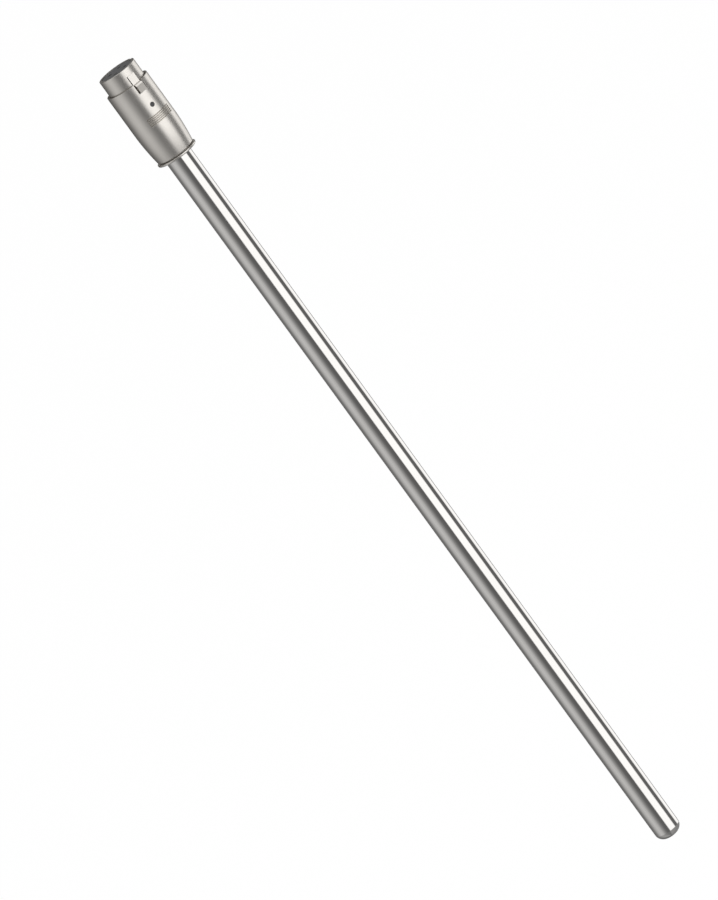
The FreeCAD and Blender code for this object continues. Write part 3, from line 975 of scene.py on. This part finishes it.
@dataclass
class LatchShell:
    """The plug's nose and inner shell, with two latch fingers slit out of its wall."""

    radius: float = 4.575
    bore: float = 4.075
    lip_bore: float = 3.925
    lip_length: float = 1.1
    rear: float = 5.73
    front: float = 23.02
    front_rounding: float = 0.06
    finger_half_width: float = 0.94
    finger_root: float = 21.3
    finger_end: float = 14.6
    slit: float = 0.13
    tab_half_width: float = 0.938
    hook_half_width: float = 0.936
    tab_height: float = 4.625
    hook_rear: float = 16.74
    hook_height: float = 5.555
    hook_front: float = 18.87
    hook_chamfer: float = 0.4
    cam_radius: float = 4.845
    cam_level: float = 15.0
    cam_length: float = 0.4
    keyway_half_width: float = 0.5
    keyway_depth: float = 0.25
    keyway_length: float = 3.4
    wall_middle: float = 4.325
    steps: int = 240
    row: float = 0.45
    front_rows: int = 6
    cam_steps: int = 24
    margin: float = 1.0
    tolerance: float = 0.01
    finish: Finish = LATCH_PLATE

    def build(self) -> Piece:
        """Turns the shell, cuts the slits and the keyway, then adds tabs, cams and hooks.

        Returns:
            The piece.
        """
        inner = self.radius - self.front_rounding
        section = Section()
        section.lines((self.bore, self.rear), (self.radius, self.rear))
        section.line(self.radius, self.front - self.front_rounding, self.row)
        section.arc(inner, self.front, (inner, self.front - self.front_rounding), self.front_rows)
        section.lines(
            (self.lip_bore, self.front),
            (self.lip_bore, self.front - self.lip_length),
            (self.bore, self.front - self.lip_length),
        )
        section.close()
        piece = spun("latch_shell_nose", section, self.steps)
        for tools in self._slit_tools():
            combine(piece, tools, Operation.CUT)
        combine(piece, [self._keyway_tool()], Operation.CUT)
        for tool in (self._tab_tool(), self._cam_tool(), self._hook_tool()):
            combine(piece, both_sides(tool), Operation.ADD)
        return piece

    def _tab_tool(self) -> Piece:
        """The flat pad along a finger, from its root back to the hook."""
        low = (-self.tab_half_width, -self.tab_height, self.hook_rear)
        high = (self.tab_half_width, -self.wall_middle, self.finger_root)
        return block("tab_tool", low, high)

    def _cam_tool(self) -> Piece:
        """The small cam that the sleeve presses to lift a finger.

        Returns:
            The tool.
        """
        section = Section()
        section.lines(
            (self.wall_middle, self.cam_level),
            (self.cam_radius, self.cam_level),
            (self.cam_radius, self.cam_level + self.cam_length / 2),
            (self.wall_middle, self.cam_level + self.cam_length),
        )
        section.close()
        span = 2 * math.asin(self.tab_half_width / self.cam_radius)
        return spun("cam_tool", section, self.cam_steps, span=span, facing=-math.pi / 2)

    def _hook_tool(self) -> Piece:
        """The square hook that stands up through the sleeve's notch, with a chamfer in front.

        Returns:
            The tool.
        """
        half = self.hook_half_width
        low = (-half, -self.hook_height, self.hook_rear)
        high = (half, -self.wall_middle, self.hook_front)
        hook = block("hook_tool", low, high)

        def is_front_edge(start: Vector, end: Vector) -> bool:
            """True for the edge where the hook's top meets its front."""
            return all(
                math.isclose(corner.y, -self.hook_height, abs_tol=self.tolerance)
                and math.isclose(corner.z, self.hook_front, abs_tol=self.tolerance)
                for corner in (start, end)
            )

        bevel_edges(hook, is_front_edge, self.hook_chamfer, 1)
        return hook

    def _slit_tools(self) -> list[list[Piece]]:
        """Blocks right across the shell that slit both fingers free on three sides.

        Returns:
            The side slits' tools, then the end slit's tool.
        """
        inner = self.finger_half_width
        outer = inner + self.slit
        reach = self.radius + self.margin
        end = self.finger_end - self.slit
        sides = [
            block("slit_tool", (inner, -reach, end), (outer, reach, self.finger_root)),
            block("slit_tool", (-outer, -reach, end), (-inner, reach, self.finger_root)),
        ]
        rear = block("slit_tool", (-outer, -reach, end), (outer, reach, self.finger_end))
        return [sides, [rear]]

    def _keyway_tool(self) -> Piece:
        """The block that cuts the keyway into the nose."""
        low = (self.radius - self.keyway_depth, -self.keyway_half_width, self.front - self.keyway_length)
        high = (self.radius + self.margin, self.keyway_half_width, self.front + self.margin)
        return block("keyway_tool", low, high)

    def make(self) -> None:
        """Builds and dresses the shell."""
        dress(self.build(), self.finish, "latch_shell", Body.PROBE)


@dataclass
class ContactInsert:
    """The dark insert whose face fills the nose, with a countersunk entry for each contact."""

    radius: float = 4.025
    face_radius: float = 3.875
    rear: float = 14.49
    step: float = 21.89
    face: float = 22.92
    face_rounding: float = 0.08
    relief: float = 0.55
    entry_radius: float = 0.525
    entry_chamfer: float = 0.08
    barrel_radius: float = 0.68
    barrel_top: float = 22.45
    shoulder_radius: float = 0.93
    shoulder_length: float = 1.03
    contact_circle: float = 2.0
    contact_count: int = 4
    steps: int = 180
    face_rows: int = 4
    face_row: float = 0.8
    hole_steps: int = 40
    margin: float = 1.0
    finish: Finish = INSERT_PLASTIC

    def build(self) -> Piece:
        """Turns the insert, then cuts the flats beside the fingers and the contacts' holes.

        Returns:
            The piece.
        """
        inner = self.face_radius - self.face_rounding
        section = Section()
        section.lines(
            (0.0, self.rear),
            (self.radius, self.rear),
            (self.radius, self.step),
            (self.face_radius, self.step),
            (self.face_radius, self.face - self.face_rounding),
        )
        section.arc(inner, self.face, (inner, self.face - self.face_rounding), self.face_rows)
        section.line(0.0, self.face, self.face_row)
        piece = spun("contact_insert_face", section, self.steps)
        combine(piece, self._flat_tools(), Operation.CUT)
        combine(piece, self._hole_tools(), Operation.CUT)
        return piece

    def _flat_tools(self) -> list[Piece]:
        """The blocks that cut the two flats which give the fingers room.

        Returns:
            The tools.
        """
        flat = self.radius - self.relief
        reach = self.radius + self.margin
        low = (-reach, -reach, self.rear - self.margin)
        return both_sides(block("flat_tool", low, (reach, -flat, self.step)))

    def _hole_tools(self) -> list[Piece]:
        """The stepped plugs that cut the contacts' holes.

        Returns:
            The tools.
        """
        base = self.rear - self.margin
        top = self.face + self.margin
        shoulder = self.rear + self.shoulder_length
        mouth_radius = self.entry_radius + self.entry_chamfer
        section = Section()
        section.lines(
            (0.0, base),
            (self.shoulder_radius, base),
            (self.shoulder_radius, shoulder),
            (self.barrel_radius, shoulder),
            (self.barrel_radius, self.barrel_top),
            (self.entry_radius, self.barrel_top),
            (self.entry_radius, self.face - self.entry_chamfer),
            (mouth_radius, self.face),
            (mouth_radius, top),
            (0.0, top),
        )
        diagonal = self.contact_circle * math.sqrt(0.5)
        first = spun("hole_tool", section, self.hole_steps, centre=(diagonal, diagonal, 0.0))
        turns = [FULL_TURN * number / self.contact_count for number in range(1, self.contact_count)]
        return [first] + [copied(first, turn) for turn in turns]

    def make(self) -> None:
        """Builds and dresses the insert."""
        dress(self.build(), self.finish, "contact_insert", Body.PROBE)


@dataclass
class InnerPieces:
    """The solids that keep their own meshes: contacts, nut, collet, carriers and what the sheath holds."""

    finishes: dict[str, Finish] = field(default_factory=lambda: dict(SLOT_FINISHES))

    def make(self) -> None:
        """Gives every carried-over solid the finish of its slot in the record."""
        for entry in frame["record"]["subparts"]:
            finish = self.finishes[entry["material_slot"]]
            node = frame["nodes"][entry["node"]]
            node.data.materials.clear()
            node.data.materials.append(finish.material())
            LOG.info("%s: %s", node.name, finish.name)


@dataclass
class Studio:
    """Pale floor and a surround of soft white panels with dark gaps between them.

    Each ring is a row of pairs: a direction in degrees to the right of the camera's own, and the light that
    comes from there, where 1 is white.

    Attributes:
        facing: The camera's azimuth in degrees.
        low_ring: Light from about the horizon and below.
        high_ring: Light from above the horizon.
        under_ring: Light from well below the horizon.
        overhead: Light from straight above.
        nadir: Heights of a direction between which the under ring blends into the low ring.
        horizon: Heights between which the rings blend.
        zenith: Heights between which the high ring blends into the overhead light.
        floor_gap: Height in millimetres of the tip above the floor.
        floor_size: Width of the floor in metres.
        floor_colour: Colour of the floor.
        floor_glow: Share of plain white that the camera sees in the floor.
        key_place: Place of the lamp in metres.
        key_target: Place that the lamp points at.
        key_size: Width of the lamp in metres.
        key_power: Power of the lamp in watts.
    """

    facing: float = -24.5
    low_ring: tuple[Pair, ...] = (
        (-180, 0.15), (-150, 0.17), (-122, 0.21), (-107, 0.36), (-94, 0.53), (-72, 0.67), (-53, 0.58),
        (-36, 0.34), (-20, 0.18), (-8, 0.14), (8, 0.135), (13, 1.38), (63, 1.38), (70, 0.15),
        (100, 0.15), (108, 1.3), (143, 1.3), (150, 0.3), (180, 0.15),
    )
    high_ring: tuple[Pair, ...] = (
        (-180, 0.15), (-110, 0.18), (-75, 0.7), (-30, 0.35), (10, 0.5), (40, 0.7), (100, 0.6),
        (125, 0.2), (180, 0.15),
    )
    under_ring: tuple[Pair, ...] = (
        (-180, 0.17), (-122, 0.18), (-94, 0.36), (-72, 0.42), (-53, 0.37), (-36, 0.28), (-20, 0.22),
        (0, 0.2), (13, 0.35), (63, 0.33), (90, 0.28), (143, 0.3), (180, 0.2),
    )
    overhead: float = 1.1
    nadir: tuple[float, float] = (-0.44, -0.38)
    horizon: tuple[float, float] = (0.1, 0.35)
    zenith: tuple[float, float] = (0.6, 0.85)
    floor_gap: float = 30.0
    floor_size: float = 16.0
    floor_colour: Colour = (0.86, 0.86, 0.86)
    floor_glow: float = 0.985
    key_place: Point = (0.45, -0.5, 0.75)
    key_target: Point = (0.0, 0.0, -0.05)
    key_size: float = 0.6
    key_power: float = 6.0

    def make(self) -> None:
        """Sets the view transform and makes the surround, the floor and the key light."""
        bpy.context.scene.view_settings.view_transform = "Standard"
        self._surround()
        self._floor()
        self._key()

    def _ring(self, tree: Tree, turn: Socket, stops: tuple[Pair, ...]) -> Socket:
        """Adds the light of a ring of directions.

        Args:
            tree: The world's nodes.
            turn: The direction as a share of a full turn from behind.
            stops: The ring's pairs of direction and light.

        Returns:
            The socket with the light.
        """
        curve = add_node(tree, "ShaderNodeFloatCurve", {"Value": turn})
        points = curve.mapping.curves[0].points
        brightest = max(light for _, light in stops)
        for number, (angle, light) in enumerate(stops):
            place = (angle + 180) / 360
            level = light / brightest
            if number in (0, len(stops) - 1):
                point = points[0 if number == 0 else -1]
                point.location = (place, level)
            else:
                point = points.new(place, level)
            point.handle_type = "VECTOR"
        curve.mapping.update()
        return calculated(tree, "MULTIPLY", curve.outputs["Value"], brightest)

    def _blend(self, tree: Tree, height: Source, band: Pair, below: Source, above: Source) -> Socket:
        """Blends the light under a band of heights into the light over it."""
        share = ranged(tree, height, band, interpolation_type="SMOOTHSTEP")
        return mixed(tree, share, below, above)

    def _surround(self) -> None:
        """Makes the world: white to the camera, panels and gaps to everything else."""
        world = bpy.data.worlds.new("studio_surround")
        bpy.context.scene.world = world
        world.use_nodes = True
        tree = world.node_tree
        place = add_node(tree, "ShaderNodeTexCoord", {})
        turned = {"Vector": place.outputs["Generated"], "Rotation": (0.0, 0.0, -math.radians(self.facing))}
        turn = add_node(tree, "ShaderNodeMapping", turned, vector_type="VECTOR")
        parts = add_node(tree, "ShaderNodeSeparateXYZ", {"Vector": turn.outputs["Vector"]}).outputs
        forward = calculated(tree, "MULTIPLY", parts["Y"], -1.0)
        angle = calculated(tree, "ARCTAN2", parts["X"], forward)
        share = ranged(tree, angle, (-math.pi, math.pi))
        under, low, high = (
            self._ring(tree, share, stops) for stops in (self.under_ring, self.low_ring, self.high_ring)
        )
        lower = self._blend(tree, parts["Z"], self.nadir, under, low)
        sides = self._blend(tree, parts["Z"], self.horizon, lower, high)
        light = self._blend(tree, parts["Z"], self.zenith, sides, self.overhead)
        rays = add_node(tree, "ShaderNodeLightPath", {})
        seen = mixed(tree, rays.outputs["Is Camera Ray"], light, 1.0)
        feed(tree, tree.nodes["Background"], {"Color": WHITE, "Strength": seen})

    def _floor(self) -> None:
        """Makes the pale floor, which keeps a faint shadow."""
        deselect()
        level = CAD_BOX[0].z - self.floor_gap * MM
        bpy.ops.mesh.primitive_plane_add(size=self.floor_size, location=(0.0, 0.0, level))
        floor = bpy.context.object
        floor.name = "studio_floor"
        floor.visible_glossy = False
        made = bpy.data.materials.new("pale_floor")
        made.use_nodes = True
        tree = made.node_tree
        shader = tree.nodes["Principled BSDF"]
        dull = {"Base Color": (*self.floor_colour, 1.0), "Roughness": 1.0, "Specular IOR Level": 0.0}
        feed(tree, shader, dull)
        glow = add_node(tree, "ShaderNodeEmission", {})
        rays = add_node(tree, "ShaderNodeLightPath", {})
        share = calculated(tree, "MULTIPLY", rays.outputs["Is Camera Ray"], self.floor_glow)
        layers = {"Fac": share, 1: shader.outputs["BSDF"], 2: glow.outputs["Emission"]}
        mix = add_node(tree, "ShaderNodeMixShader", layers)
        feed(tree, tree.nodes["Material Output"], {"Surface": mix.outputs["Shader"]})
        floor.data.materials.append(made)

    def _key(self) -> None:
        """Hangs one soft lamp on the right, which only dull surfaces and the floor's shadow show."""
        deselect()
        bpy.ops.object.light_add(type="AREA", location=self.key_place)
        lamp = bpy.context.object
        lamp.name = "soft_key"
        lamp.data.size = self.key_size
        lamp.data.energy = self.key_power
        lamp.visible_glossy = False
        aim = Vector(self.key_target) - lamp.location
        lamp.rotation_euler = aim.to_track_quat("-Z", "Y").to_euler()


@dataclass
class Viewpoint:
    """The photograph's camera, with angles in degrees and lengths in metres."""

    azimuth: float = -24.5
    elevation: float = 15.092
    roll: float = -36.083
    distance: float = 1.27513
    aim_height: float = -0.078555
    aim_side: float = -0.005993
    focal_pixels: float = 5723.4
    image_height: float = 900.0
    sensor: float = 36.0
    nearest: float = 0.01
    farthest: float = 50.0

    def make(self) -> None:
        """Places the camera and makes it the scene's own."""
        azimuth, elevation, roll = (
            math.radians(angle) for angle in (self.azimuth, self.elevation, self.roll)
        )
        back = Vector(
            (
                math.sin(azimuth) * math.cos(elevation),
                -math.cos(azimuth) * math.cos(elevation),
                math.sin(elevation),
            )
        )
        level_right = Vector((math.cos(azimuth), math.sin(azimuth), 0.0))
        level_up = back.cross(level_right)
        right = level_right * math.cos(roll) + level_up * math.sin(roll)
        up = level_up * math.cos(roll) - level_right * math.sin(roll)
        aim = Vector((0.0, 0.0, self.aim_height)) + level_right * self.aim_side
        turned = Matrix((right, up, back)).transposed().to_4x4()
        deselect()
        bpy.ops.object.camera_add()
        camera = bpy.context.object
        camera.name = "photo_camera"
        camera.matrix_world = Matrix.Translation(aim + back * self.distance) @ turned
        camera.data.sensor_fit = "AUTO"
        camera.data.sensor_width = self.sensor
        camera.data.lens = self.focal_pixels * self.sensor / self.image_height
        camera.data.clip_start = self.nearest
        camera.data.clip_end = self.farthest
        bpy.context.scene.camera = camera


def main() -> None:
    """Builds the pieces in order, then the studio and the camera."""
    logging.basicConfig(level=logging.INFO, format="%(name)s: %(message)s")
    InnerPieces().make()
    for assembly in (Sheath(), ReleaseSleeve(), RearRing(), IndexDot(), LatchShell(), ContactInsert()):
        assembly.make()
    Studio().make()
    Viewpoint().make()


if __name__ == "__main__":
    main()
